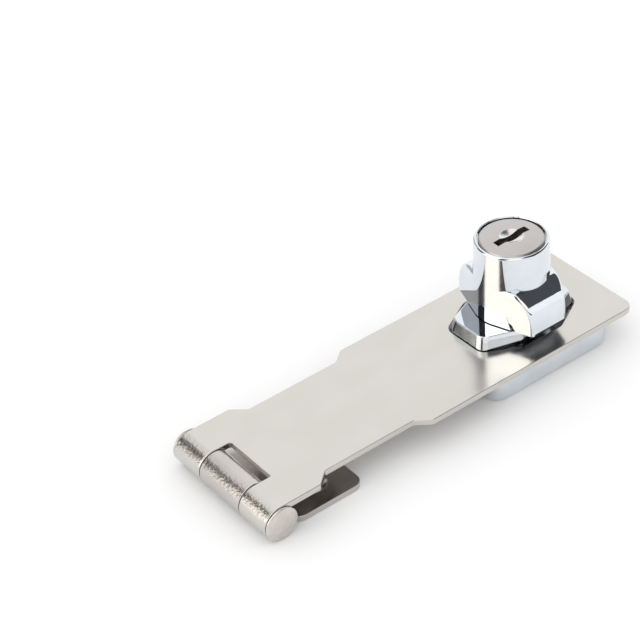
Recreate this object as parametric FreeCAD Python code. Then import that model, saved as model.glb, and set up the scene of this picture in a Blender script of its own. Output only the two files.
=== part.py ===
import FreeCAD, Part
import math
import os

from FreeCAD import Vector

# Keyed hasp: a hinged strap drops over a raised pedestal and a winged knob, turned a
# quarter turn, stands across the strap and holds it. A wafer lock in the knob drives a
# bolt that stops the knob from turning.
#
# Frame: origin on the knob's axis, on the surface the lock is screwed to. +Z points away
# from that surface, +X along the strap towards its free end, and the hinge lies at -X.
# All sizes are in millimetres.

# ---- Strap, leaf and hinge ----
SHEET = 1.6                 # steel sheet of the strap and the leaf
STRAP_TOP = 8.9             # strap's upper face above the mounting surface
HINGE_X = -85.5             # hinge axis
STRAP_END_X = 24.9          # free end
HINGE_ZONE_W = 35.4         # strap width at the hinge
WAIST_W = 29.3              # strap width between the two wide zones
LOCK_ZONE_W = 35.0          # strap width around the lock
WAIST_STEPS = (-73.8, -70.2, -43.9, -40.3)  # where the edge steps in and out again
END_CORNER_R = 2.8          # rounded corners of the free end
BARREL_R = STRAP_TOP / 2    # outside of the rolled knuckles
PIN_R = 2.8                 # hinge pin
PIN_TIGHT_GAP = 0.02        # between the pin and the strap's knuckles
PIN_RUNNING_GAP = 0.05      # between the pin and the leaf's knuckle
KNUCKLE_HALF = 7.58         # half length of the leaf's centre knuckle
KNUCKLE_GAP = 0.27          # between neighbouring knuckles
WINDOW_X = 5.05             # far edge of the strap's window, from the hinge axis
ROLL_END_DEG = 18.0         # how far short of the sheet a rolled knuckle stops
RIVET_HEAD_R = 4.38         # domed ends of the pin
RIVET_RIM = 0.55            # straight rim of a domed end
RIVET_DOME = 0.75           # height of the dome on the rim
RIVET_EDGE_R = 0.18
RIVET_GAP = 0.03            # between a head and its knuckle
LEAF_START = 5.1            # full-width part of the leaf, from the hinge axis
LEAF_END = 24.7             # leaf's outer edge, from the hinge axis
LEAF_W = 33.5
LEAF_CORNER_R = 2.6
LEAF_HOLE_X = 15.2          # screw holes, from the hinge axis
LEAF_HOLE_SPACING = 18.0
LEAF_HOLE_R = 2.2
LEAF_SINK_R = 3.7           # countersink at the leaf's upper face

# ---- Lock base ----
BASE_L = 39.0
BASE_W = 31.2
BASE_CORNER_R = 4.3
BASE_TOP = 7.1              # the strap lies 0.2 above it
BASE_EDGE_R = 0.8           # rounded lower edge
BASE_WALL = 2.6
BASE_ROOF = 2.4
BASE_HOLE_SPACING_X = 30.0
BASE_HOLE_SPACING_Y = 22.0
BASE_HOLE_R = 1.9
BASE_SINK_R = 3.2
BASE_BOSS_R = 3.9
HUB_BOSS_R = 10.6           # thick middle around the spindle

# ---- Pedestal, an eight-sided block long in X, with rounded corners ----
PED_TOP = 12.2
PED_END_X = 15.4            # outline at the strap's upper face
PED_END_HALF_W = 6.0
PED_MID_X = 5.2
PED_MID_HALF_W = 9.8
PED_TOP_END_X = 14.65       # outline of its top
PED_TOP_END_HALF_W = 5.4
PED_TOP_MID_X = 5.0
PED_TOP_MID_HALF_W = 9.1
PED_CORNER_R = 2.6
PED_EDGE_R = 0.35
SLOT_END_X = 15.72          # outline of the strap's slot, wide enough for the knob's wings
SLOT_END_HALF_W = 6.25
SLOT_MID_X = 5.8
SLOT_MID_HALF_W = 11.5
SLOT_CORNER_R = 2.9

# ---- Knob ----
KNOB_GAP = 0.28             # between the pedestal's top and the knob
KNOB_TOP = 32.4
KNOB_R_LOW = 9.75
KNOB_R_TOP = 9.25
KNOB_LIP_R = 0.55
KNOB_BORE_EDGE_R = 0.2
WING_Y = 13.6               # outer faces of the wings
WING_HALF_X = 5.55          # half width of an outer face
WING_BLEND = 0.02           # how far a wing's flat side cuts in under the round body's tangent
ARCH_TOP = 23.1             # top of a wing
ARCH_RUN_Y = 6.3            # the wing's shoulder is a quarter ellipse, this wide
ARCH_RUN_Z = 8.6            # and this high
WING_EDGE_R = 1.0

# ---- Wafer lock in the knob ----
PLUG_R = 6.95
PLUG_GAP = 0.05             # running gap around the plug
PLUG_FLOOR = 17.0
PLUG_SHOULDER = 31.0        # underside of the plug's head
HEAD_BORE_R = 8.45
PLUG_HEAD_R = 7.6
PLUG_HEAD_TOP = 31.6
FACE_R = 8.1
FACE_EDGE_Z = 32.25
FACE_CROWN_Z = 32.87
FACE_SKIRT = 0.3            # thickness of the face cap's skirt
FACE_FOOT_GAP = 0.05        # between the skirt and the plug's shoulder
FACE_INNER_GAP = 0.02       # between the cap and the plug's head
FACE_EDGE_R = 0.2
KEYWAY_L = 10.1
KEYWAY_W = 2.0
KEYWAY_FLOOR = 18.2
DIMPLE_R = 3.1              # polished dimple round the keyway's middle
DIMPLE_DEPTH = 0.85
WAFER_COUNT = 5
WAFER_Z0 = 19.0
WAFER_PITCH = 2.2
WAFER_T = 1.2
WAFER_W = 7.0
WAFER_TRAVEL = 0.6          # from the shear line into the knob's groove
WAFER_SIDE_GAP = 0.08
WAFER_LUG_Y = 4.9           # tip of the lug that the spring pushes
WAFER_LUG_X = 1.5
SPRING_R = 0.45
SPRING_WIRE_R = 0.09
SPRING_TURNS = 7
SPRING_L = 2.6
SPRING_PLAY = 0.15          # room around the lug and the spring in their pocket
WINDOW_INSET_L = 0.35       # how much shorter a wafer's window is than the keyway, each end
WINDOW_EXTRA_W = 0.15       # and how much wider, each side
CODE_STEP = 0.125           # sideways step between the wafers' windows
GROOVE_DEPTH = 0.85         # long grooves in the knob's bore, for the wafers' ends
GROOVE_SIDE_GAP = 0.25
GROOVE_END_GAP = 0.4
RETAINER_Z = 17.5
RETAINER_T = 0.9
RETAINER_REACH = 0.6
RETAINER_HALF_W = 1.6
RETAINER_ROOT_X = 0.5
RETAINER_SIDE_GAP = 0.1

# ---- Bolt that locks the knob to the base ----
TAIL_R = 3.1
CRANK_R = 1.5               # crank pin's distance from the plug's axis
CRANK_PIN_R = 0.8
CRANK_ANGLE = 225.0         # where the crank pin stands with the bolt drawn in
CRANK_FIT = 0.12            # play of the crank pin in the bolt's slot
BOLT_BOTTOM = 8.6
BOLT_TOP = 11.2
BOLT_HALF_W = 2.3
BOLT_GAP = 0.1
BOLT_BACK_X = 3.6           # bolt's blunt end, behind the axis
BOLT_POCKET_GAP = 0.2       # room around the bolt in the base's pockets
BOLT_POCKET_END = 0.3       # and beyond its tip
BOLT_TRAVEL = 2.0 * CRANK_R * math.sin(math.pi / 4)
SPINDLE_R = 6.0
SPINDLE_GAP = 0.05
SPINDLE_END = 3.4

# ---- Fixing of the knob under the base ----
POCKET_R = 8.6
POCKET_TOP = 4.1
WASHER_R = 8.1
WASHER_T = 1.1
WAVE_T = 0.3
WAVE_HEIGHT = 0.5
WAVE_COUNT = 3
SCREW_R = 1.9
SCREW_HOLE_R = 2.0
SCREW_LENGTH = 4.2
SCREW_HEAD_R = 3.3
SCREW_HEAD_T = 1.5
SCREW_HEAD_EDGE_R = 0.6
RECESS_REACH = 1.7          # arms of the cross recess
RECESS_HALF_W = 0.35
RECESS_DEPTH = 1.0
STOP_R = 0.75
STOP_ORBIT = 8.1
STOP_HEIGHT = 1.1
STOP_DEPTH = 3.0
STOP_ANGLE = 225.0
STOP_GAP = 0.12

Z = Vector(0, 0, 1)
Y = Vector(0, 1, 0)
STRAP_BOTTOM = STRAP_TOP - SHEET
KNOB_BOTTOM = PED_TOP + KNOB_GAP


def disc(radius, z_low, z_high, x=0.0, y=0.0):
    return Part.makeCylinder(radius, z_high - z_low, Vector(x, y, z_low))


def block(x_low, x_high, y_low, y_high, z_low, z_high):
    corner = Vector(x_low, y_low, z_low)
    return Part.makeBox(x_high - x_low, y_high - y_low, z_high - z_low, corner)


def prism(points, z_low, z_high):
    """Upright prism on a closed outline of (x, y) points."""
    corners = [Vector(x, y, z_low) for x, y in points]
    face = Part.Face(Part.makePolygon(corners + corners[:1]))
    return face.extrude(Vector(0, 0, z_high - z_low))


def rounded(shape, radius, chosen):
    """Round the edges whose midpoint passes the test."""
    edges = [e for e in shape.Edges if chosen(e.CenterOfMass)]
    return shape.makeFillet(radius, edges)


def upright_edges(shape, radius, chosen):
    """Round the vertical edges whose place in plan passes the test."""
    edges = []
    for edge in shape.Edges:
        box = edge.BoundBox
        if box.XLength < 1e-6 and box.YLength < 1e-6 and chosen(edge.CenterOfMass):
            edges.append(edge)
    return shape.makeFillet(radius, edges)


def screw_hole(x, y, z_low, z_high, hole_r, sink_r):
    """Cutter for a hole countersunk at its upper end."""
    depth = sink_r - hole_r
    cone = Part.makeCone(hole_r, sink_r, depth, Vector(x, y, z_high - depth))
    above = disc(sink_r, z_high, z_high + 1, x, y)
    return disc(hole_r, z_low - 1, z_high, x, y).fuse([cone, above])


def roll(inner_r, start_deg, sweep_deg, y_low, y_high):
    """A rolled knuckle: part of a ring round the hinge axis."""
    start = math.radians(start_deg)
    end = math.radians(start_deg + sweep_deg)
    middle = (start + end) / 2

    def at(radius, angle):
        return Vector(HINGE_X + radius * math.cos(angle), y_low, BARREL_R + radius * math.sin(angle))

    outer = Part.Arc(at(BARREL_R, start), at(BARREL_R, middle), at(BARREL_R, end)).toShape()
    inner = Part.Arc(at(inner_r, end), at(inner_r, middle), at(inner_r, start)).toShape()
    cap_a = Part.makeLine(at(BARREL_R, end), at(inner_r, end))
    cap_b = Part.makeLine(at(inner_r, start), at(BARREL_R, start))
    face = Part.Face(Part.Wire([outer, cap_a, inner, cap_b]))
    return face.extrude(Vector(0, y_high - y_low, 0))


def save(node, shape):
    shape = shape.removeSplitter()
    solids = len(shape.Solids)
    print(f"{node:18s} solids {solids}  volume {shape.Volume:9.2f}  valid {shape.isValid()}")
    if solids == 1:
        shape = shape.Solids[0]
    shape.exportStep(f"parts/{node}.step")


def octagon(end_x, end_y, mid_x, mid_y, corner_r, z):
    """Level outline with eight rounded corners: ends at x = +-end_x, sides at y = +-mid_y."""
    right = [(mid_x, -mid_y), (end_x, -end_y), (end_x, end_y), (mid_x, mid_y)]
    corners = [Vector(x, y, z) for x, y in right + [(-x, -y) for x, y in right]]
    count = len(corners)
    starts, middles, ends = [], [], []
    for index, corner in enumerate(corners):
        before = (corners[index - 1] - corner).normalize()
        after = (corners[(index + 1) % count] - corner).normalize()
        half_angle = before.getAngle(after) / 2
        inward = (before + after).normalize()
        starts.append(corner + before * (corner_r / math.tan(half_angle)))
        middles.append(corner + inward * (corner_r / math.sin(half_angle) - corner_r))
        ends.append(corner + after * (corner_r / math.tan(half_angle)))
    edges = []
    for index in range(count):
        edges.append(Part.Arc(starts[index], middles[index], ends[index]).toShape())
        edges.append(Part.makeLine(ends[index], starts[(index + 1) % count]))
    return Part.Wire(edges)


def pedestal_foot(z):
    return octagon(PED_END_X, PED_END_HALF_W, PED_MID_X, PED_MID_HALF_W, PED_CORNER_R, z)


# ---- Strap: stamped sheet with two rolled knuckles, a window and the lock slot ----
def hasp_strap():
    x1, x2, x3, x4 = WAIST_STEPS
    half_hinge = HINGE_ZONE_W / 2
    half_waist = WAIST_W / 2
    half_lock = LOCK_ZONE_W / 2
    edge = [(HINGE_X, half_hinge), (x1, half_hinge), (x2, half_waist), (x3, half_waist),
            (x4, half_lock), (STRAP_END_X, half_lock)]
    outline = [(x, -y) for x, y in edge] + edge[::-1]
    sheet = prism(outline, STRAP_BOTTOM, STRAP_TOP)
    sheet = upright_edges(sheet, END_CORNER_R, lambda p: p.x > STRAP_END_X - 0.1)

    window_half = KNUCKLE_HALF + KNUCKLE_GAP
    window = block(HINGE_X - 6, HINGE_X + WINDOW_X, -window_half, window_half,
                   STRAP_BOTTOM - 1, STRAP_TOP + 1)
    slot_outline = octagon(SLOT_END_X, SLOT_END_HALF_W, SLOT_MID_X, SLOT_MID_HALF_W,
                           SLOT_CORNER_R, STRAP_BOTTOM - 1)
    slot = Part.Face(slot_outline).extrude(Vector(0, 0, SHEET + 2))
    strap = sheet.cut([window, slot])

    sweep = 270.0 - ROLL_END_DEG
    for low, high in ((-half_hinge, -window_half), (window_half, half_hinge)):
        strap = strap.fuse(roll(PIN_R + PIN_TIGHT_GAP, 90.0, sweep, low, high))
    return strap


# ---- Leaf: short plate with the centre knuckle, folded back under the strap ----
def mounting_leaf():
    start = HINGE_X + LEAF_START
    end = HINGE_X + LEAF_END
    half = LEAF_W / 2
    plate = block(start, end, -half, half, 0, SHEET)
    plate = upright_edges(plate, LEAF_CORNER_R, lambda p: True)
    tongue = block(HINGE_X, start + LEAF_CORNER_R, -KNUCKLE_HALF, KNUCKLE_HALF, 0, SHEET)
    sweep = 270.0 - ROLL_END_DEG
    knuckle = roll(PIN_R + PIN_RUNNING_GAP, 270.0 - sweep, sweep, -KNUCKLE_HALF, KNUCKLE_HALF)
    leaf = plate.fuse([tongue, knuckle])
    for side in (-1, 1):
        y = side * LEAF_HOLE_SPACING / 2
        leaf = leaf.cut(screw_hole(HINGE_X + LEAF_HOLE_X, y, 0, SHEET, LEAF_HOLE_R, LEAF_SINK_R))
    return leaf


# ---- Hinge pin: a rod with a domed rivet head at each end ----
def hinge_pin():
    barrel_end = HINGE_ZONE_W / 2 + RIVET_GAP
    rim = barrel_end + RIVET_RIM
    tip = rim + RIVET_DOME
    sphere_r = (RIVET_HEAD_R ** 2 + RIVET_DOME ** 2) / (2 * RIVET_DOME)
    middle_r = RIVET_HEAD_R * 0.55
    middle_y = tip - sphere_r + math.sqrt(sphere_r ** 2 - middle_r ** 2)
    quarter = [Vector(0, 0, 0), Vector(PIN_R, 0, 0), Vector(PIN_R, barrel_end, 0),
               Vector(RIVET_HEAD_R, barrel_end, 0), Vector(RIVET_HEAD_R, rim, 0)]
    lines = [Part.makeLine(a, b) for a, b in zip(quarter, quarter[1:])]
    dome = Part.Arc(quarter[-1], Vector(middle_r, middle_y, 0), Vector(0, tip, 0)).toShape()
    axis = Part.makeLine(Vector(0, tip, 0), quarter[0])
    half = Part.Face(Part.Wire(lines + [dome, axis])).revolve(Vector(), Y, 360)
    pin = half.fuse(half.mirror(Vector(), Y)).removeSplitter()
    pin = rounded(pin, RIVET_EDGE_R, lambda p: abs(abs(p.y) - rim) < 0.01)
    pin.translate(Vector(HINGE_X, 0, BARREL_R))
    return pin


# ---- Base: cast block, hollow below, with the pedestal and the spindle's bore ----
def base_screw_places():
    half_x = BASE_HOLE_SPACING_X / 2
    half_y = BASE_HOLE_SPACING_Y / 2
    return [(sx * half_x, sy * half_y) for sx in (-1, 1) for sy in (-1, 1)]


def pedestal():
    neck = Part.Face(pedestal_foot(BASE_TOP - 1)).extrude(Vector(0, 0, STRAP_TOP - BASE_TOP + 1))
    top = octagon(PED_TOP_END_X, PED_TOP_END_HALF_W, PED_TOP_MID_X, PED_TOP_MID_HALF_W,
                  PED_CORNER_R, PED_TOP)
    body = Part.makeLoft([pedestal_foot(STRAP_TOP), top], True, True)
    body = rounded(body, PED_EDGE_R, lambda p: p.z > PED_TOP - 0.01)
    return neck.fuse(body)


def bolt_channel(grow, reach):
    """Space of the bolt along +X, from the axis out to reach."""
    half = BOLT_HALF_W + grow
    return block(0, reach, -half, half, BOLT_BOTTOM - grow, BOLT_TOP + grow)


def stop_place():
    angle = math.radians(STOP_ANGLE)
    return STOP_ORBIT * math.cos(angle), STOP_ORBIT * math.sin(angle)


def lock_base():
    half_l = BASE_L / 2
    half_w = BASE_W / 2
    body = block(-half_l, half_l, -half_w, half_w, 0, BASE_TOP)
    body = upright_edges(body, BASE_CORNER_R, lambda p: True)
    body = rounded(body, BASE_EDGE_R, lambda p: p.z < 0.01)

    hollow = block(-half_l + BASE_WALL, half_l - BASE_WALL, -half_w + BASE_WALL,
                   half_w - BASE_WALL, -1, BASE_TOP - BASE_ROOF)
    hollow = upright_edges(hollow, BASE_CORNER_R - 1.5, lambda p: True)
    bosses = [disc(HUB_BOSS_R, -1, BASE_TOP)]
    bosses += [disc(BASE_BOSS_R, -1, BASE_TOP, x, y) for x, y in base_screw_places()]
    hollow = hollow.cut(bosses)
    body = body.cut(hollow).fuse(pedestal())

    cutters = [disc(SPINDLE_R + SPINDLE_GAP, -1, PED_TOP + 1), disc(POCKET_R, -1, POCKET_TOP)]
    for x, y in base_screw_places():
        cutters.append(screw_hole(x, y, 0, BASE_TOP, BASE_HOLE_R, BASE_SINK_R))
    for angle in (0, 90):
        pocket = bolt_channel(BOLT_POCKET_GAP, SPINDLE_R + BOLT_TRAVEL + BOLT_POCKET_END)
        pocket.rotate(Vector(), Z, angle)
        cutters.append(pocket)
    stop_x, stop_y = stop_place()
    cutters.append(disc(STOP_R, PED_TOP - STOP_DEPTH, PED_TOP + 1, stop_x, stop_y))
    return body.cut(cutters)


def stop_pin():
    x, y = stop_place()
    pin = disc(STOP_R, PED_TOP - STOP_DEPTH, PED_TOP + STOP_HEIGHT, x, y)
    return pin.makeChamfer(0.15, [e for e in pin.Edges if e.CenterOfMass.z > PED_TOP + 0.5])


# ---- Knob: cast body with two wings, the lock's bore and the spindle ----
def body_r(z):
    """Radius of the knob's tapered body."""
    return KNOB_R_LOW + (KNOB_R_TOP - KNOB_R_LOW) * (z - KNOB_BOTTOM) / (KNOB_TOP - KNOB_BOTTOM)


def side_root(z):
    """Where a wing's flat side meets the round body in plan, as (x, y) from the middle."""
    reach = math.hypot(WING_HALF_X, WING_Y)
    flat_r = body_r(z) - WING_BLEND
    angle = math.atan2(WING_HALF_X, WING_Y) + math.acos(flat_r / reach)
    return flat_r * math.sin(angle), flat_r * math.cos(angle)


def side_x(y, z):
    """Half width of a wing in plan at a distance y from the knob's middle."""
    root_x, root_y = side_root(z)
    return root_x + (WING_HALF_X - root_x) * (y - root_y) / (WING_Y - root_y)


def wing(side):
    """One wing; side is -1 towards -Y and +1 towards +Y."""

    def plan(z):
        root_x, root_y = side_root(z)
        half = [(root_x, 0), (root_x, side * root_y), (WING_HALF_X, side * WING_Y)]
        points = [Vector(x, y, z) for x, y in half + [(-x, y) for x, y in half[::-1]]]
        return Part.makePolygon(points + points[:1])

    solid = Part.makeLoft([plan(KNOB_BOTTOM), plan(ARCH_TOP + 1)], True, True)
    shoulder_y = WING_Y - ARCH_RUN_Y
    shoulder_z = ARCH_TOP - ARCH_RUN_Z
    centre = Vector(0, side * shoulder_y, shoulder_z)
    top = Vector(0, side * shoulder_y, ARCH_TOP)
    outer = Vector(0, side * WING_Y, shoulder_z)
    shoulder = Part.ArcOfEllipse(Part.Ellipse(top, outer, centre), 0, math.pi / 2).toShape()
    foot = Vector(0, side * WING_Y, KNOB_BOTTOM - 1)
    inner = Vector(0, 0, KNOB_BOTTOM - 1)
    inner_top = Vector(0, 0, ARCH_TOP)
    lines = [Part.makeLine(outer, foot), Part.makeLine(foot, inner),
             Part.makeLine(inner, inner_top), Part.makeLine(inner_top, top)]
    profile = Part.Face(Part.Wire([shoulder] + lines))
    profile.translate(Vector(-20, 0, 0))
    solid = solid.common(profile.extrude(Vector(40, 0, 0)))

    def on_side_edge(point):
        y = abs(point.y)
        on_slope = abs(abs(point.x) - side_x(y, point.z)) < 0.1
        return on_slope and point.z > KNOB_BOTTOM + 0.1 and y > side_root(point.z)[1] + 0.1

    return rounded(solid, WING_EDGE_R, on_side_edge)


def knob():
    height = KNOB_TOP - KNOB_BOTTOM
    body = Part.makeCone(KNOB_R_LOW, KNOB_R_TOP, height, Vector(0, 0, KNOB_BOTTOM))
    body = rounded(body, KNOB_LIP_R, lambda p: p.z > KNOB_TOP - 0.01)
    body = body.fuse([wing(-1), wing(1), disc(SPINDLE_R, SPINDLE_END, KNOB_BOTTOM + 1)])

    cutters = [disc(PLUG_R + PLUG_GAP, PLUG_FLOOR - 0.1, KNOB_TOP + 1),
               disc(HEAD_BORE_R, PLUG_SHOULDER - 0.1, KNOB_TOP + 1),
               disc(TAIL_R + PLUG_GAP, BOLT_TOP, PLUG_FLOOR),
               disc(SCREW_HOLE_R, SPINDLE_END - 1, SPINDLE_END + SCREW_LENGTH + 0.6)]
    groove_reach = PLUG_R + GROOVE_DEPTH
    half = WAFER_W / 2 + GROOVE_SIDE_GAP
    groove_low = WAFER_Z0 - GROOVE_END_GAP
    groove_high = WAFER_Z0 + WAFER_COUNT * WAFER_PITCH - GROOVE_END_GAP
    cutters.append(block(-groove_reach, groove_reach, -half, half, groove_low, groove_high))
    cutters.append(block(-half, half, -groove_reach, groove_reach, groove_low, groove_high))
    ring = disc(PLUG_R + RETAINER_REACH + 0.2, RETAINER_Z - 0.1, RETAINER_Z + RETAINER_T + 0.1)
    cutters.append(ring)
    channel = block(-SPINDLE_R + 0.6, SPINDLE_R + 1, -BOLT_HALF_W - BOLT_GAP, BOLT_HALF_W + BOLT_GAP,
                    BOLT_BOTTOM - BOLT_GAP, BOLT_TOP + BOLT_GAP)
    cutters.append(channel)
    cutters.append(stop_groove())
    body = body.cut(cutters)

    def on_bore_edge(point):
        return abs(point.z - KNOB_TOP) < 0.01 and math.hypot(point.x, point.y) < 0.1

    return rounded(body, KNOB_BORE_EDGE_R, on_bore_edge)


def stop_groove():
    """Quarter-turn groove in the knob's underside that the stop pin runs in."""
    half = STOP_R + STOP_GAP
    top = PED_TOP + STOP_HEIGHT + 0.2
    ring = disc(STOP_ORBIT + half, KNOB_BOTTOM - 0.5, top).cut(disc(STOP_ORBIT - half, 0, top + 1))
    reach = 20.0
    first = math.radians(STOP_ANGLE - 90)
    last = math.radians(STOP_ANGLE)
    middle = (first + last) / 2
    wedge = prism([(0, 0), (reach * math.cos(first), reach * math.sin(first)),
                   (reach * 1.5 * math.cos(middle), reach * 1.5 * math.sin(middle)),
                   (reach * math.cos(last), reach * math.sin(last))], 0, top + 1)
    ends = [disc(half, KNOB_BOTTOM - 0.5, top, STOP_ORBIT * math.cos(a), STOP_ORBIT * math.sin(a))
            for a in (first, last)]
    return ring.common(wedge).fuse(ends)


# ---- Wafer lock ----
def wafer_z(index):
    return WAFER_Z0 + index * WAFER_PITCH


def keyway(z_low, z_high, grow=0.0):
    half_l = KEYWAY_L / 2 + grow
    half_w = KEYWAY_W / 2 + grow
    return block(-half_l, half_l, -half_w, half_w, z_low, z_high)


def key_plug():
    plug = disc(PLUG_R, PLUG_FLOOR, PLUG_HEAD_TOP)
    plug = plug.fuse([disc(PLUG_HEAD_R, PLUG_SHOULDER, PLUG_HEAD_TOP),
                      disc(TAIL_R, BOLT_TOP + 0.2, PLUG_FLOOR + 1)])
    crank = math.radians(CRANK_ANGLE)
    crank_x = CRANK_R * math.cos(crank)
    crank_y = CRANK_R * math.sin(crank)
    plug = plug.fuse(disc(CRANK_PIN_R, BOLT_BOTTOM + 0.4, BOLT_TOP + 1, crank_x, crank_y))

    cutters = [keyway(KEYWAY_FLOOR, PLUG_HEAD_TOP + 1)]
    half = WAFER_W / 2 + WAFER_SIDE_GAP
    for index in range(WAFER_COUNT):
        low = wafer_z(index) - WAFER_SIDE_GAP
        high = wafer_z(index) + WAFER_T + WAFER_SIDE_GAP
        cutters.append(block(-10, 10, -half, half, low, high))
        pocket_end = WAFER_LUG_X + SPRING_L + SPRING_PLAY
        cutters.append(block(-WAFER_TRAVEL - SPRING_PLAY, pocket_end,
                             half - 0.5, WAFER_LUG_Y + SPRING_PLAY, low, high))
    slot_half = RETAINER_HALF_W + RETAINER_SIDE_GAP
    slot = block(RETAINER_ROOT_X - RETAINER_SIDE_GAP, 10, -slot_half, slot_half,
                 RETAINER_Z - WAFER_SIDE_GAP, RETAINER_Z + RETAINER_T + WAFER_SIDE_GAP)
    cutters.append(slot)
    return plug.cut(cutters)


def plug_face():
    """Cap of brushed sheet crimped over the plug's head, slightly crowned."""
    rise = FACE_CROWN_Z - FACE_EDGE_Z
    sphere_r = (FACE_R ** 2 + rise ** 2) / (2 * rise)
    middle_r = FACE_R * 0.5
    middle_z = FACE_CROWN_Z - sphere_r + math.sqrt(sphere_r ** 2 - middle_r ** 2)
    inner_r = FACE_R - FACE_SKIRT
    under = PLUG_HEAD_TOP + FACE_INNER_GAP
    rim = [Vector(FACE_R, 0, FACE_EDGE_Z), Vector(FACE_R, 0, PLUG_SHOULDER + FACE_FOOT_GAP),
           Vector(inner_r, 0, PLUG_SHOULDER + FACE_FOOT_GAP), Vector(inner_r, 0, under),
           Vector(0, 0, under), Vector(0, 0, FACE_CROWN_Z)]
    crown = Part.Arc(rim[-1], Vector(middle_r, 0, middle_z), rim[0]).toShape()
    lines = [Part.makeLine(a, b) for a, b in zip(rim, rim[1:])]
    cap = Part.Face(Part.Wire([crown] + lines)).revolve(Vector(), Z, 360)
    cap = rounded(cap, FACE_EDGE_R, lambda p: abs(p.z - FACE_EDGE_Z) < 0.01)
    ball_r = (DIMPLE_R ** 2 + DIMPLE_DEPTH ** 2) / (2 * DIMPLE_DEPTH)
    ball = Part.makeSphere(ball_r, Vector(0, 0, FACE_CROWN_Z - DIMPLE_DEPTH + ball_r))
    return cap.cut([ball, keyway(KEYWAY_FLOOR, FACE_CROWN_Z + 1)])


def wafer(index):
    """Plate with a window for the key, and a lug that its spring pushes."""
    z = wafer_z(index)
    half = WAFER_W / 2
    plate = block(-10, 10, -half, half, z, z + WAFER_T).common(disc(PLUG_R - 0.02, z, z + WAFER_T))
    lug = block(0, WAFER_LUG_X, half - 1, WAFER_LUG_Y, z, z + WAFER_T)
    # Each wafer's window sits a little differently, which is what codes the lock.
    shift = CODE_STEP * ((index * 2) % WAFER_COUNT - 2)
    half_l = KEYWAY_L / 2 - WINDOW_INSET_L
    half_w = KEYWAY_W / 2 + WINDOW_EXTRA_W
    window = block(shift - half_l, shift + half_l, -half_w, half_w, z - 1, z + WAFER_T + 1)
    return plate.fuse(lug).cut(window)


def coil(radius, wire_r, length, turns):
    """Round-wire coil spring along +Z, its wire's centre starting at z = 0."""
    helix = Part.makeHelix(length / turns, length, radius)
    start = Vector(radius, 0, 0)
    section = Part.Wire(Part.makeCircle(wire_r, start, Y))
    return Part.Wire(helix).makePipeShell([section], True, True)


def wafer_spring(index):
    spring = coil(SPRING_R, SPRING_WIRE_R, SPRING_L - 4 * SPRING_WIRE_R, SPRING_TURNS)
    spring.rotate(Vector(), Y, 90)
    lug_middle_y = (WAFER_W / 2 + WAFER_LUG_Y) / 2
    spring.translate(Vector(WAFER_LUG_X + 2 * SPRING_WIRE_R + 0.05, lug_middle_y,
                            wafer_z(index) + WAFER_T / 2))
    return spring


def plug_retainer():
    """Sprung tongue that snaps into the ring groove and keeps the plug in the knob."""
    reach = PLUG_R + RETAINER_REACH
    plate = block(RETAINER_ROOT_X, reach + 1, -RETAINER_HALF_W, RETAINER_HALF_W,
                  RETAINER_Z, RETAINER_Z + RETAINER_T)
    return plate.common(disc(reach, RETAINER_Z, RETAINER_Z + RETAINER_T))


# ---- Bolt and the fixings under the knob ----
def lock_bolt():
    crank = CRANK_R * -math.cos(math.radians(CRANK_ANGLE))
    bolt = block(-BOLT_BACK_X, SPINDLE_R + 1, -BOLT_HALF_W, BOLT_HALF_W, BOLT_BOTTOM, BOLT_TOP)
    bolt = bolt.common(disc(SPINDLE_R - 0.05, BOLT_BOTTOM, BOLT_TOP))
    half_slot = CRANK_PIN_R + CRANK_FIT
    far_y = -CRANK_R
    slot = block(-crank - half_slot, -crank + half_slot, far_y, -crank, BOLT_BOTTOM - 1, BOLT_TOP + 1)
    ends = [disc(half_slot, BOLT_BOTTOM - 1, BOLT_TOP + 1, -crank, y) for y in (far_y, -crank)]
    # Open the slot to the bolt's edge: the crank pin sweeps close to it.
    mouth = block(-crank - half_slot, -crank + half_slot, -BOLT_HALF_W - 1, far_y,
                  BOLT_BOTTOM - 1, BOLT_TOP + 1)
    return bolt.cut([slot, mouth] + ends)


def retaining_washer():
    low = SPINDLE_END - WASHER_T
    return disc(WASHER_R, low, SPINDLE_END).cut(disc(SCREW_HOLE_R + 0.1, low - 1, SPINDLE_END + 1))


def wave_washer():
    """Spring washer between the base and the retaining washer, waved three times round."""
    inner_r = SPINDLE_R + 0.25
    outer_r = WASHER_R - 0.2
    low = SPINDLE_END + 0.06
    rise = WAVE_HEIGHT - WAVE_T
    steps = 24

    def height(step):
        return low + rise / 2 * (1 - math.cos(WAVE_COUNT * 2 * math.pi * step / steps))

    def closed_curve(radius, lift):
        points = []
        for step in range(steps):
            angle = 2 * math.pi * step / steps
            points.append(Vector(radius * math.cos(angle), radius * math.sin(angle), height(step) + lift))
        curve = Part.BSplineCurve()
        curve.interpolate(points, PeriodicFlag=True)
        return Part.Wire(curve.toShape())

    rings = {key: closed_curve(radius, lift) for key, radius, lift in
             (("il", inner_r, 0), ("ol", outer_r, 0), ("iu", inner_r, WAVE_T), ("ou", outer_r, WAVE_T))}
    faces = [Part.makeRuledSurface(rings[a], rings[b]) for a, b in
             (("il", "ol"), ("ol", "ou"), ("ou", "iu"), ("iu", "il"))]
    shell = Part.makeShell([f for face in faces for f in face.Faces])
    shell.sewShape()
    solid = Part.Solid(shell)
    if solid.Volume < 0:
        solid.reverse()
    return solid


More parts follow.
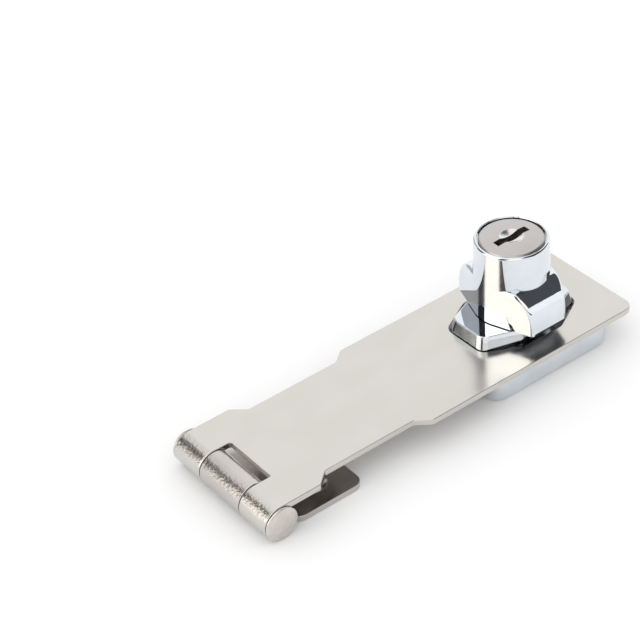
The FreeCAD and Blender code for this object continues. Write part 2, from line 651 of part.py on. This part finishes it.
def spindle_screw():
    washer_low = SPINDLE_END - WASHER_T
    head = disc(SCREW_HEAD_R, washer_low - SCREW_HEAD_T, washer_low)
    head = rounded(head, SCREW_HEAD_EDGE_R, lambda p: p.z < washer_low - 0.5)
    shank = disc(SCREW_R, washer_low - 0.5, SPINDLE_END + SCREW_LENGTH)
    low = washer_low - SCREW_HEAD_T - 1
    high = washer_low - SCREW_HEAD_T + RECESS_DEPTH
    arm = block(-RECESS_REACH, RECESS_REACH, -RECESS_HALF_W, RECESS_HALF_W, low, high)
    recess = arm.fuse(block(-RECESS_HALF_W, RECESS_HALF_W, -RECESS_REACH, RECESS_REACH, low, high))
    return head.fuse(shank).cut(recess)


os.makedirs("parts", exist_ok=True)
save("hasp_strap", hasp_strap())
save("mounting_leaf", mounting_leaf())
save("hinge_pin", hinge_pin())
save("lock_base", lock_base())
save("stop_pin", stop_pin())
save("knob", knob())
save("key_plug", key_plug())
save("plug_face", plug_face())
save("plug_retainer", plug_retainer())
for number in range(WAFER_COUNT):
    save(f"wafer_{number + 1}", wafer(number))
    save(f"wafer_spring_{number + 1}", wafer_spring(number))
save("lock_bolt", lock_bolt())
save("retaining_washer", retaining_washer())
save("wave_washer", wave_washer())
save("spindle_screw", spindle_screw())
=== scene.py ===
import math

import bmesh
import bpy
from mathutils import Matrix, Quaternion, Vector


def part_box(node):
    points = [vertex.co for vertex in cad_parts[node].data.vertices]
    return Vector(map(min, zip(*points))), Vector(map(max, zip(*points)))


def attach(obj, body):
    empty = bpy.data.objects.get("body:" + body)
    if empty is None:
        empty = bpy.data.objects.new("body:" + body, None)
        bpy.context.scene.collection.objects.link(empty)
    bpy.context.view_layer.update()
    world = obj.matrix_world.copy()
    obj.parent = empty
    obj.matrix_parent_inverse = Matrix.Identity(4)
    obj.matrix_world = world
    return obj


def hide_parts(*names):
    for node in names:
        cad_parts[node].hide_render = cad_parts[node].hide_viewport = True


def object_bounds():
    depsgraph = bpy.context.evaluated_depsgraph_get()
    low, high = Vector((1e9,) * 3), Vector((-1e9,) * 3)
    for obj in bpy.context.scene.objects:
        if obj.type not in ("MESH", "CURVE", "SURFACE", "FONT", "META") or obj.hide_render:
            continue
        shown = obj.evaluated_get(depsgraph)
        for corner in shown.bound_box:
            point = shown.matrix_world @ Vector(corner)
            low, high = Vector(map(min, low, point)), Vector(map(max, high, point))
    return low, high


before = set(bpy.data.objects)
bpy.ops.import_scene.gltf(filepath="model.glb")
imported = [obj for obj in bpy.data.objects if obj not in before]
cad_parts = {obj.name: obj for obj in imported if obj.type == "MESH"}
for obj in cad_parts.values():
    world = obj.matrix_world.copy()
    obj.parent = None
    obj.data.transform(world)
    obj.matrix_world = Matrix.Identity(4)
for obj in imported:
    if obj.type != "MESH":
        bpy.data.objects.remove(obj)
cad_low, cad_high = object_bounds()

MM = 0.001

# ---- Lock base ----
# A zinc casting, buffed and chrome plated, open below. Its eight-sided pedestal stands up through the
# strap's slot, and four screws through its corner bosses hold it to the frame of the door or drawer.


def new_finish(name):
    """An empty metal finish: its material, nodes, links and shader."""
    material = bpy.data.materials.new(name)
    material.use_nodes = True
    tree = material.node_tree
    shader = tree.nodes["Principled BSDF"]
    shader.inputs["Metallic"].default_value = 1.0
    return material, tree.nodes, tree.links, shader


def grain(nodes, links, size, detail=2.0):
    """Uneven patches fixed to the piece; size gives their width along X, Y and Z in millimetres."""
    place = nodes.new("ShaderNodeTexCoord")
    scale = nodes.new("ShaderNodeMapping")
    scale.inputs["Scale"].default_value = [1 / (width * MM) for width in size]
    noise = nodes.new("ShaderNodeTexNoise")
    noise.inputs["Scale"].default_value = 1.0
    noise.inputs["Detail"].default_value = detail
    links.new(place.outputs["Object"], scale.inputs["Vector"])
    links.new(scale.outputs["Vector"], noise.inputs["Vector"])
    return noise.outputs["Fac"]


def vary(nodes, links, source, low, high):
    """Turns the patches into a value between low and high."""
    span = nodes.new("ShaderNodeMapRange")
    span.inputs["From Min"].default_value = 0.3
    span.inputs["From Max"].default_value = 0.7
    span.inputs["To Min"].default_value = low
    span.inputs["To Max"].default_value = high
    links.new(source, span.inputs["Value"])
    return span.outputs["Result"]


def vary_colour(nodes, links, source, dark, light):
    ramp = nodes.new("ShaderNodeValToRGB")
    first, last = ramp.color_ramp.elements
    first.position, first.color = 0.35, (*dark, 1)
    last.position, last.color = 0.65, (*light, 1)
    links.new(source, ramp.inputs["Fac"])
    return ramp.outputs["Color"]


def emboss(nodes, links, shader, source, depth):
    """Lets the patches stand up from the surface by depth millimetres."""
    bump = nodes.new("ShaderNodeBump")
    bump.inputs["Distance"].default_value = depth * MM
    links.new(source, bump.inputs["Height"])
    links.new(bump.outputs["Normal"], shader.inputs["Normal"])


def chrome(name, dark, light, gloss, ripple):
    """Bright chrome over buffed zinc: almost a mirror, with the buffing wheel's slow ripples."""
    material, nodes, links, shader = new_finish(name)
    clouds = grain(nodes, links, (5, 5, 5))
    links.new(vary_colour(nodes, links, clouds, dark, light), shader.inputs["Base Color"])
    links.new(vary(nodes, links, clouds, gloss, gloss * 1.6), shader.inputs["Roughness"])
    emboss(nodes, links, shader, grain(nodes, links, (3, 3, 4), detail=0.0), ripple)
    return material


def dress(node, material):
    """Gives a part its finish."""
    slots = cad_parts[node].data.materials
    slots.clear()
    slots.append(material)


base_chrome = chrome("base_chrome", (0.68, 0.72, 0.76), (0.73, 0.77, 0.81), 0.035, 0.012)
dress("lock_base", base_chrome)

# ---- Stop pin ----
# A short bright steel dowel pressed into the pedestal. It runs in a groove under the knob and
# ends the knob's turn after a quarter of a circle.
pin_steel, nodes, links, shader = new_finish("pin_steel")
turned_rings = grain(nodes, links, (4, 4, 0.08))
links.new(vary_colour(nodes, links, turned_rings, (0.48, 0.48, 0.49), (0.60, 0.60, 0.60)),
          shader.inputs["Base Color"])
links.new(vary(nodes, links, turned_rings, 0.18, 0.3), shader.inputs["Roughness"])
emboss(nodes, links, shader, turned_rings, 0.01)
dress("stop_pin", pin_steel)

# ---- Knob ----
# A zinc casting with two wings, chromed. Across the strap the wings hold it down; its spindle
# turns in the base, and the wafer lock sits in its bore.
knob_chrome = chrome("knob_chrome", (0.70, 0.745, 0.785), (0.745, 0.785, 0.82), 0.02, 0.006)
dress("knob", knob_chrome)

# ---- Knob's fixings ----
# Under the base a zinc-plated washer and a cross-recessed screw hold the spindle, and a waved
# spring washer above them takes up the play.
zinc_plate, nodes, links, shader = new_finish("zinc_plate")
spangle = grain(nodes, links, (0.9, 0.9, 0.9), detail=4.0)
links.new(vary_colour(nodes, links, spangle, (0.46, 0.47, 0.50), (0.62, 0.63, 0.64)),
          shader.inputs["Base Color"])
links.new(vary(nodes, links, spangle, 0.22, 0.42), shader.inputs["Roughness"])
emboss(nodes, links, shader, grain(nodes, links, (0.12, 0.12, 0.12)), 0.01)
dress("retaining_washer", zinc_plate)
dress("spindle_screw", zinc_plate)

spring_steel, nodes, links, shader = new_finish("spring_steel")
scale = grain(nodes, links, (1.2, 1.2, 1.2), detail=4.0)
links.new(vary_colour(nodes, links, scale, (0.30, 0.29, 0.28), (0.44, 0.43, 0.42)),
          shader.inputs["Base Color"])
links.new(vary(nodes, links, scale, 0.25, 0.45), shader.inputs["Roughness"])
emboss(nodes, links, shader, grain(nodes, links, (0.05, 0.4, 0.4)), 0.004)
dress("wave_washer", spring_steel)

# ---- Bolt ----
# A sliding steel bolt in the spindle. The plug's crank pin pushes it into the pedestal, so that
# the knob can't turn.
bolt_steel, nodes, links, shader = new_finish("bolt_steel")
milling = grain(nodes, links, (4, 0.1, 0.1))
links.new(vary_colour(nodes, links, milling, (0.42, 0.42, 0.43), (0.56, 0.56, 0.56)),
          shader.inputs["Base Color"])
links.new(vary(nodes, links, milling, 0.2, 0.4), shader.inputs["Roughness"])
emboss(nodes, links, shader, milling, 0.015)
dress("lock_bolt", bolt_steel)

# ---- Wafer lock ----
# A die-cast plug with five brass wafers on small springs and a brass retainer. Only its face
# shows: a thin crowned cap, crimped on, with a polished dimple round the keyway.
plug_metal, nodes, links, shader = new_finish("plug_metal")
casting = grain(nodes, links, (0.6, 0.6, 0.6), detail=5.0)
links.new(vary_colour(nodes, links, casting, (0.34, 0.32, 0.30), (0.46, 0.44, 0.41)),
          shader.inputs["Base Color"])
links.new(vary(nodes, links, casting, 0.4, 0.6), shader.inputs["Roughness"])
emboss(nodes, links, shader, casting, 0.02)
dress("key_plug", plug_metal)

brass, nodes, links, shader = new_finish("brass")
stamping = grain(nodes, links, (0.5, 0.5, 2.0), detail=3.0)
links.new(vary_colour(nodes, links, stamping, (0.66, 0.47, 0.19), (0.78, 0.58, 0.27)),
          shader.inputs["Base Color"])
links.new(vary(nodes, links, stamping, 0.22, 0.4), shader.inputs["Roughness"])
emboss(nodes, links, shader, stamping, 0.008)
dress("plug_retainer", brass)
for number in range(1, 6):
    dress(f"wafer_{number}", brass)
    dress(f"wafer_spring_{number}", spring_steel)

face_cap, nodes, links, shader = new_finish("face_cap")
brushing = grain(nodes, links, (5, 0.07, 0.07), detail=3.0)
stains = grain(nodes, links, (4, 4, 4), detail=1.0)
links.new(vary_colour(nodes, links, stains, (0.52, 0.49, 0.47), (0.52, 0.505, 0.50)),
          shader.inputs["Base Color"])
links.new(vary(nodes, links, brushing, 0.24, 0.36), shader.inputs["Roughness"])
emboss(nodes, links, shader, brushing, 0.004)

CAP_R = 8.1 * MM
CAP_CROWN_R = 53.2 * MM                  # the crown is part of a large ball
CAP_FLAT_R = 7.0 * MM                    # here the crown bends down to the crimped edge
CAP_TOP = 32.87 * MM
CAP_EDGE_Z = 31.95 * MM
CAP_FOOT_Z = 31.05 * MM
CAP_UNDER_Z = 31.62 * MM
CAP_SKIRT = 0.3 * MM
DIMPLE_R = 2.98 * MM
DIMPLE_DEPTH = 0.73 * MM
KEYWAY = (10.1 * MM, 2.0 * MM)
CUTTER_HEIGHT = 4 * MM


def turned(profile, steps=128):
    """Spins a closed outline of (radius, height) points round the Z axis."""
    shape = bmesh.new()
    rings = []
    for radius, height in profile:
        if radius == 0:
            rings.append([shape.verts.new((0, 0, height))] * steps)
            continue
        turns = [2 * math.pi * step / steps for step in range(steps)]
        rings.append([shape.verts.new((radius * math.cos(t), radius * math.sin(t), height)) for t in turns])
    for ring, following in zip(rings, rings[1:]):
        for step in range(steps):
            corners = [ring[step], ring[(step + 1) % steps], following[(step + 1) % steps], following[step]]
            shape.faces.new(list(dict.fromkeys(corners)))
    return shape


CREASE = math.radians(40)                # edges sharper than this stay crisp


def finished_piece(name, shape, materials, body, slot, *nodes):
    """Turns a bmesh into a piece with clean shading that stands for its CAD parts."""
    bmesh.ops.recalc_face_normals(shape, faces=shape.faces)
    mesh = bpy.data.meshes.new(name)
    shape.to_mesh(mesh)
    shape.free()
    mesh.shade_smooth()
    mesh.set_sharp_from_angle(angle=CREASE)
    for material in materials:
        mesh.materials.append(material)
    piece = bpy.data.objects.new(name, mesh)
    bpy.context.scene.collection.objects.link(piece)
    weighted = piece.modifiers.new("even_shading", "WEIGHTED_NORMAL")
    weighted.mode = "FACE_AREA_WITH_ANGLE"
    weighted.keep_sharp = True
    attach(piece, body)
    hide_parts(*nodes)


def cut_out(shape, tool):
    """Takes the tool's volume out of the shape; both are bmeshes."""
    objects = []
    for name, solid in (("shape", shape), ("tool", tool)):
        bmesh.ops.recalc_face_normals(solid, faces=solid.faces)
        mesh = bpy.data.meshes.new(name)
        solid.to_mesh(mesh)
        solid.free()
        objects.append(bpy.data.objects.new(name, mesh))
        bpy.context.scene.collection.objects.link(objects[-1])
    cut = objects[0].modifiers.new("cut", "BOOLEAN")
    cut.object = objects[1]
    cut.solver = "EXACT"
    depsgraph = bpy.context.evaluated_depsgraph_get()
    result = bmesh.new()
    result.from_mesh(bpy.data.meshes.new_from_object(objects[0].evaluated_get(depsgraph)))
    for solid in objects:
        bpy.data.objects.remove(solid)
    return result


def crown_z(radius):
    """Height of the crown's surface at a distance from the axis."""
    return CAP_TOP - CAP_CROWN_R + math.sqrt(CAP_CROWN_R ** 2 - radius ** 2)


def rings_between(start, end, count):
    """Count evenly spaced values from start, leaving out end."""
    return [start + (end - start) * step / count for step in range(count)]


dish = [(radius, crown_z(DIMPLE_R) - DIMPLE_DEPTH * (1 - (radius / DIMPLE_R) ** 2))
        for radius in rings_between(0, DIMPLE_R, 10)]
crown = [(radius, crown_z(radius)) for radius in rings_between(DIMPLE_R, CAP_FLAT_R, 8)]
edge_drop = crown_z(CAP_FLAT_R) - CAP_EDGE_Z
edge = [(CAP_FLAT_R + (CAP_R - CAP_FLAT_R) * math.sin(turn), CAP_EDGE_Z + edge_drop * math.cos(turn))
        for turn in rings_between(0, math.pi / 2, 8)]
inner_r = CAP_R - CAP_SKIRT
skirt = [(CAP_R, CAP_EDGE_Z), (CAP_R, CAP_FOOT_Z), (inner_r, CAP_FOOT_Z),
         (inner_r, CAP_UNDER_Z), (0, CAP_UNDER_Z)]
cap_shape = turned(dish + crown + edge + skirt)
key_cutter = bmesh.new()
bmesh.ops.create_cube(key_cutter, size=1.0)
bmesh.ops.scale(key_cutter, verts=key_cutter.verts, vec=(*KEYWAY, CUTTER_HEIGHT))
bmesh.ops.translate(key_cutter, verts=key_cutter.verts, vec=(0, 0, CAP_UNDER_Z))
cap_shape = cut_out(cap_shape, key_cutter)
for facet in cap_shape.faces:
    middle = facet.calc_center_median()
    in_dimple = math.hypot(middle.x, middle.y) < DIMPLE_R and middle.z > CAP_UNDER_Z
    if in_dimple and abs(facet.normal.z) > 0.5:
        facet.material_index = 1
polished = chrome("polished_dimple", (0.72, 0.72, 0.72), (0.78, 0.78, 0.78), 0.2, 0.004)
finished_piece("plug_cap", cap_shape, [face_cap, polished], "plug", "brushed_face", "plug_face")

# ---- Strap ----
# Steel sheet, stamped flat with its window and the slot for the pedestal. The two tongues left
# beside the window are rolled into knuckles, and the whole is nickel plated to a soft sheen.
STRAP_HALF_WAIST = 14.65 * MM
STRAP_HALF_LOCK = 17.5 * MM
WAIST_STEPS = (11.7 * MM, 15.3 * MM, 41.6 * MM, 45.2 * MM)   # from the hinge axis
WINDOW_HALF = 7.85 * MM
WINDOW_REACH = 5.05 * MM
SHEET = 1.6 * MM
ROLLED_TURN = math.radians(252)
SHEAR_EDGE = 0.14 * MM                   # rounding of the stamped edges
STEP_CORNER = 0.6 * MM
WINDOW_CORNER = 0.5 * MM
FREE_CORNER = 2.8 * MM
ROLL_STEPS = 56


def rounded_outline(corners, steps=6):
    """Points of a closed outline from corners given as (x, y, radius)."""
    points = []
    for index, (x, y, radius) in enumerate(corners):
        corner = Vector((x, y))
        if radius == 0:
            points.append(corner)
            continue
        last = Vector(corners[index - 1][:2])
        following = Vector(corners[(index + 1) % len(corners)][:2])
        before = (last - corner).normalized()
        after = (following - corner).normalized()
        half = before.angle(after) / 2
        centre = corner + (before + after).normalized() * radius / math.sin(half)
        start = corner + before * radius / math.tan(half) - centre
        turn = start.angle_signed(corner + after * radius / math.tan(half) - centre)
        for step in range(steps + 1):
            points.append(centre + Matrix.Rotation(-turn * step / steps, 2) @ start)
    return points


def stamped_sheet(outlines, bottom, thickness, edge):
    """A flat sheet with holes and softly rounded edges, as a bmesh."""
    curve = bpy.data.curves.new("blank", "CURVE")
    curve.dimensions = "2D"
    curve.fill_mode = "BOTH"
    curve.extrude = thickness / 2 - edge
    curve.bevel_depth = edge
    curve.bevel_resolution = 2
    curve.offset = -edge
    for outline in outlines:
        spline = curve.splines.new("POLY")
        spline.points.add(len(outline) - 1)
        for point, (x, y) in zip(spline.points, outline):
            point.co = (x, y, 0, 1)
        spline.use_cyclic_u = True
    holder = bpy.data.objects.new("blank", curve)
    bpy.context.scene.collection.objects.link(holder)
    flat = bpy.data.meshes.new_from_object(holder.evaluated_get(bpy.context.evaluated_depsgraph_get()))
    bpy.data.objects.remove(holder)
    sheet = bmesh.new()
    sheet.from_mesh(flat)
    bmesh.ops.translate(sheet, verts=sheet.verts, vec=(0, 0, bottom + thickness / 2))
    bmesh.ops.remove_doubles(sheet, verts=sheet.verts, dist=0.001 * MM)
    return sheet


def roll_up(sheet, axis_x, radius, outer_z, inward, end_s):
    """Rolls what lies beyond axis_x round the hinge axis; the sheet's outer_z side stays outside."""
    for step in range(ROLL_STEPS + 1):
        x = axis_x - end_s * step / ROLL_STEPS
        everything = sheet.verts[:] + sheet.edges[:] + sheet.faces[:]
        bmesh.ops.bisect_plane(sheet, geom=everything, plane_co=(x, 0, 0), plane_no=(1, 0, 0))
    for vert in sheet.verts:
        if vert.co.x < axis_x:
            angle = (axis_x - vert.co.x) / radius
            reach = radius - abs(vert.co.z - outer_z)
            vert.co.x = axis_x - reach * math.sin(angle)
            vert.co.z = radius - inward * reach * math.cos(angle)


strap_low, strap_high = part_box("hasp_strap")
barrel_r = strap_high.z / 2
hinge_x = strap_low.x + barrel_r
half_hinge = strap_high.y
PITS_START = 1.0 * MM                    # the pits begin just inside the hinge axis
PITS_FULL = 1.5 * MM                     # and are at their deepest just outside it
PIT_RELIEF = 24.0                        # how much deeper than the streaks they are
PIT_DULLNESS = 0.05


def satin_nickel(name, dark, light, gloss):
    """Nickel on rolled steel sheet: a soft sheen with faint streaks, pitted where it is rolled up."""
    material, nodes, links, shader = new_finish(name)
    clouds = grain(nodes, links, (14, 9, 9), detail=1.0)
    streaks = grain(nodes, links, (1.2, 0.14, 0.14), detail=3.0)
    pits = grain(nodes, links, (0.5, 0.8, 0.5), detail=3.0)
    links.new(vary_colour(nodes, links, clouds, dark, light), shader.inputs["Base Color"])

    place = nodes.new("ShaderNodeTexCoord")
    axes = nodes.new("ShaderNodeSeparateXYZ")
    rolled = nodes.new("ShaderNodeMapRange")
    rolled.clamp = True
    rolled.inputs["From Min"].default_value = hinge_x + PITS_START
    rolled.inputs["From Max"].default_value = hinge_x - PITS_FULL
    links.new(place.outputs["Object"], axes.inputs["Vector"])
    links.new(axes.outputs["X"], rolled.inputs["Value"])

    pitted = nodes.new("ShaderNodeMath")
    pitted.operation = "MULTIPLY"
    links.new(pits, pitted.inputs[0])
    links.new(rolled.outputs["Result"], pitted.inputs[1])
    relief = nodes.new("ShaderNodeMath")
    relief.operation = "MULTIPLY_ADD"
    relief.inputs[1].default_value = PIT_RELIEF
    links.new(pitted.outputs["Value"], relief.inputs[0])
    links.new(streaks, relief.inputs[2])
    emboss(nodes, links, shader, relief.outputs["Value"], 0.003)

    duller = nodes.new("ShaderNodeMath")
    duller.operation = "MULTIPLY_ADD"
    duller.inputs[1].default_value = PIT_DULLNESS
    links.new(pitted.outputs["Value"], duller.inputs[0])
    links.new(vary(nodes, links, streaks, gloss * 0.92, gloss * 1.08), duller.inputs[2])
    links.new(duller.outputs["Value"], shader.inputs["Roughness"])
    return material


strap_nickel = satin_nickel("strap_nickel", (0.615, 0.59, 0.555), (0.635, 0.61, 0.575), 0.2)
rolled_length = barrel_r * ROLLED_TURN
tongue_end = hinge_x - rolled_length

step_x = [hinge_x + reach for reach in WAIST_STEPS]
upper_edge = [(tongue_end, half_hinge, 0), (step_x[0], half_hinge, STEP_CORNER),
              (step_x[1], STRAP_HALF_WAIST, STEP_CORNER), (step_x[2], STRAP_HALF_WAIST, STEP_CORNER),
              (step_x[3], STRAP_HALF_LOCK, STEP_CORNER), (strap_high.x, STRAP_HALF_LOCK, FREE_CORNER)]
lower_edge = [(x, -y, radius) for x, y, radius in reversed(upper_edge)]
window_x = hinge_x + WINDOW_REACH
window = [(tongue_end, -WINDOW_HALF, 0), (window_x, -WINDOW_HALF, WINDOW_CORNER),
          (window_x, WINDOW_HALF, WINDOW_CORNER), (tongue_end, WINDOW_HALF, 0)]
strap_outline = rounded_outline(upper_edge + lower_edge + window)

SLOT_END = (15.72 * MM, 6.25 * MM)       # the slot's corners, from the knob's axis
SLOT_SIDE = (5.8 * MM, 11.5 * MM)
SLOT_CORNER = 2.9 * MM
quarter = [(SLOT_SIDE[0], -SLOT_SIDE[1]), (SLOT_END[0], -SLOT_END[1]), SLOT_END, SLOT_SIDE]
slot_corners = quarter + [(-x, -y) for x, y in quarter]
slot_outline = rounded_outline([(x, y, SLOT_CORNER) for x, y in slot_corners])

strap_shape = stamped_sheet([strap_outline, slot_outline], strap_high.z - SHEET, SHEET, SHEAR_EDGE)
roll_up(strap_shape, hinge_x, barrel_r, strap_high.z, -1, rolled_length)
finished_piece("strap_sheet", strap_shape, [strap_nickel], "strap", "satin_nickel_sheet", "hasp_strap")

# ---- Leaf ----
# The same sheet, folded back under the strap. Its one tongue is rolled the other way into the
# middle knuckle, and two countersunk holes take the screws.
# The leaf's nickel is painted darker than the strap's although it is the same sheet: painted shade for its
# place under the strap.
leaf_nickel_painted_shade = satin_nickel("leaf_nickel_painted_shade", (0.55, 0.52, 0.50), (0.58, 0.55, 0.53), 0.22)
LEAF_START = 5.1 * MM
LEAF_CORNER = 2.6 * MM
KNUCKLE_HALF = 7.58 * MM
LEAF_HOLE_X = 15.2 * MM
LEAF_HOLE_Y = 9.0 * MM
LEAF_HOLE_R = 2.2 * MM
LEAF_SINK = 1.44 * MM                    # how much wider the countersinks are at the top
leaf_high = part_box("mounting_leaf")[1]
leaf_half = leaf_high.y
leaf_x = hinge_x + LEAF_START
leaf_corners = [(leaf_high.x, -leaf_half, LEAF_CORNER), (leaf_high.x, leaf_half, LEAF_CORNER),
                (leaf_x, leaf_half, LEAF_CORNER), (leaf_x, KNUCKLE_HALF, STEP_CORNER),
                (tongue_end, KNUCKLE_HALF, 0), (tongue_end, -KNUCKLE_HALF, 0),
                (leaf_x, -KNUCKLE_HALF, STEP_CORNER), (leaf_x, -leaf_half, LEAF_CORNER)]


def hole_outline(x, y, radius, count=40):
    turns = [2 * math.pi * step / count for step in range(count)]
    return [(x + radius * math.cos(turn), y + radius * math.sin(turn)) for turn in turns]


hole_x = hinge_x + LEAF_HOLE_X
holes = [hole_outline(hole_x, y, LEAF_HOLE_R) for y in (-LEAF_HOLE_Y, LEAF_HOLE_Y)]
leaf_shape = stamped_sheet([rounded_outline(leaf_corners)] + holes, 0, SHEET, SHEAR_EDGE)
roll_up(leaf_shape, hinge_x, barrel_r, 0, 1, rolled_length)
for vert in leaf_shape.verts:
    for hole_y in (-LEAF_HOLE_Y, LEAF_HOLE_Y):
        spoke = Vector((vert.co.x - hole_x, vert.co.y - hole_y))
        if spoke.length < LEAF_HOLE_R * 1.2 and vert.co.z > SHEET / 2:
            wide = spoke.normalized() * (spoke.length + LEAF_SINK)
            vert.co.x = hole_x + wide.x
            vert.co.y = hole_y + wide.y
finished_piece("leaf_sheet", leaf_shape, [leaf_nickel_painted_shade], "leaf", "satin_nickel_leaf", "mounting_leaf")

# ---- Hinge pin ----
# A steel rod through the three knuckles. Both ends are spun over into low domed heads, and it is
# plated with the strap.
pin_nickel, nodes, links, shader = new_finish("pin_nickel")
hammering = grain(nodes, links, (1.8, 1.8, 1.8), detail=2.0)
links.new(vary_colour(nodes, links, hammering, (0.60, 0.56, 0.53), (0.66, 0.62, 0.59)),
          shader.inputs["Base Color"])
links.new(vary(nodes, links, hammering, 0.2, 0.3), shader.inputs["Roughness"])
emboss(nodes, links, shader, hammering, 0.012)

PIN_R = 2.8 * MM
HEAD_R = 4.38 * MM
HEAD_GAP = 0.13 * MM                     # shows as a fine line beside the knuckle
HEAD_RIM = 0.25 * MM                     # straight part of the rim
HEAD_ROUND = 0.2 * MM                    # rounding under the head
DOME_FULLNESS = 1.3
pin_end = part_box("hinge_pin")[1].y
head_start = half_hinge + HEAD_GAP
under = [(HEAD_R - HEAD_ROUND * (1 - math.sin(turn)), head_start + HEAD_ROUND * (1 - math.cos(turn)))
         for turn in rings_between(0, math.pi / 2, 5)]
rim_end = head_start + HEAD_ROUND + HEAD_RIM
rim = [(HEAD_R, head_start + HEAD_ROUND)]
dome = [(HEAD_R * math.cos(turn), rim_end + (pin_end - rim_end) * math.sin(turn) ** DOME_FULLNESS)
        for turn in rings_between(0, math.pi / 2, 16)]
half_profile = [(PIN_R, 0), (PIN_R, head_start)] + under + rim + dome + [(0, pin_end)]
profile = [(radius, -height) for radius, height in reversed(half_profile[1:])] + half_profile
pin_shape = turned(profile, 96)
lay_down = Matrix.Translation((hinge_x, 0, barrel_r)) @ Matrix.Rotation(math.radians(-90), 4, "X")
bmesh.ops.transform(pin_shape, matrix=lay_down, verts=pin_shape.verts)
finished_piece("pin_rivet", pin_shape, [pin_nickel], "strap", "bright_nickel_pin", "hinge_pin")

# ---- Studio ----
# A plain pale table in a white tent. A warm light stands on the left, and gaps between the tent's
# sheets leave a few dark strips that only polished metal shows.
scene = bpy.context.scene
scene.view_settings.view_transform = "Standard"
TABLE_WIDTH = 6.0
TABLE_GAP = 0.1 * MM
PALE_GREY = (0.92, 0.92, 0.92)
BLACK = (0, 0, 0)


def square(name, width, height, matte, glow, strength):
    """A flat sheet round its own centre that shines with its own light, or none."""
    mesh = bpy.data.meshes.new(name)
    x, y = width / 2, height / 2
    mesh.from_pydata([(-x, -y, 0), (x, -y, 0), (x, y, 0), (-x, y, 0)], [], [(0, 1, 2, 3)])
    sheet = bpy.data.objects.new(name, mesh)
    scene.collection.objects.link(sheet)
    material, nodes, links, shader = new_finish(name)
    shader.inputs["Metallic"].default_value = 0.0
    shader.inputs["Roughness"].default_value = 1.0
    shader.inputs["Specular IOR Level"].default_value = 0.0
    shader.inputs["Base Color"].default_value = (*matte, 1)
    shader.inputs["Emission Color"].default_value = (*glow, 1)
    shader.inputs["Emission Strength"].default_value = strength
    mesh.materials.append(material)
    return sheet


table = square("table", TABLE_WIDTH, TABLE_WIDTH, PALE_GREY, BLACK, 0.0)
table.location.z = cad_low.z - TABLE_GAP


def tent_sheet(name, azimuths, elevations, colour, strength=1.0):
    """A sheet one metre away that the metal mirrors and nothing else sees; the spans are in degrees."""
    azimuth = math.radians(sum(azimuths) / 2)
    elevation = math.radians(sum(elevations) / 2)
    width = 2 * math.tan(math.radians(azimuths[1] - azimuths[0]) / 2) * math.cos(elevation)
    height = 2 * math.tan(math.radians(elevations[1] - elevations[0]) / 2)
    sheet = square(name, width, height, BLACK, colour, strength)
    sheet.location = (math.cos(azimuth) * math.cos(elevation), math.sin(azimuth) * math.cos(elevation),
                      math.sin(elevation))
    sheet.rotation_mode = "QUATERNION"
    sheet.rotation_quaternion = sheet.location.to_track_quat("Z", "Y")
    sheet.visible_camera = False
    sheet.visible_diffuse = False
    sheet.visible_shadow = False


tent_sheet("left_light", (140, 193), (0, 66), (1.0, 0.955, 0.89), 2.25)
tent_sheet("left_gap", (192, 214), (0, 66), (0.12, 0.09, 0.08))
tent_sheet("front_light", (214, 262), (5, 60), (1.0, 0.96, 0.90), 1.35)
tent_sheet("back_gap", (116, 142), (0, 46), (0.03, 0.03, 0.035))
tent_sheet("back_grey", (78, 116), (0, 46), (0.55, 0.55, 0.57))
tent_sheet("right_gap", (-80, 12), (20, 76), (0.08, 0.08, 0.09))
tent_sheet("front_gap", (195, 300), (0, 5), (0.03, 0.03, 0.03))

surround = bpy.data.worlds.new("surround")
surround.use_nodes = True
air = surround.node_tree.nodes["Background"]
air.inputs["Color"].default_value = (1.0, 1.0, 1.0, 1)
air.inputs["Strength"].default_value = 1.15
scene.world = surround

camera_data = bpy.data.cameras.new("camera")
camera_data.lens = 115.6
camera_data.sensor_width = 36.0
camera_data.clip_start = 0.01
camera = bpy.data.objects.new("camera", camera_data)
azimuth = math.radians(-35.27)
elevation = math.radians(37.44)
tilt = math.radians(-4.35)
DISTANCE = 510.8 * MM
back = Vector((math.sin(azimuth) * math.cos(elevation), -math.cos(azimuth) * math.cos(elevation),
               math.sin(elevation)))
aim = Vector((-36.5, 30.4, 8.9)) * MM
camera.location = aim + back * DISTANCE
camera.rotation_mode = "QUATERNION"
camera.rotation_quaternion = Quaternion(back, tilt) @ back.to_track_quat("Z", "Y")
scene.collection.objects.link(camera)
scene.camera = camera
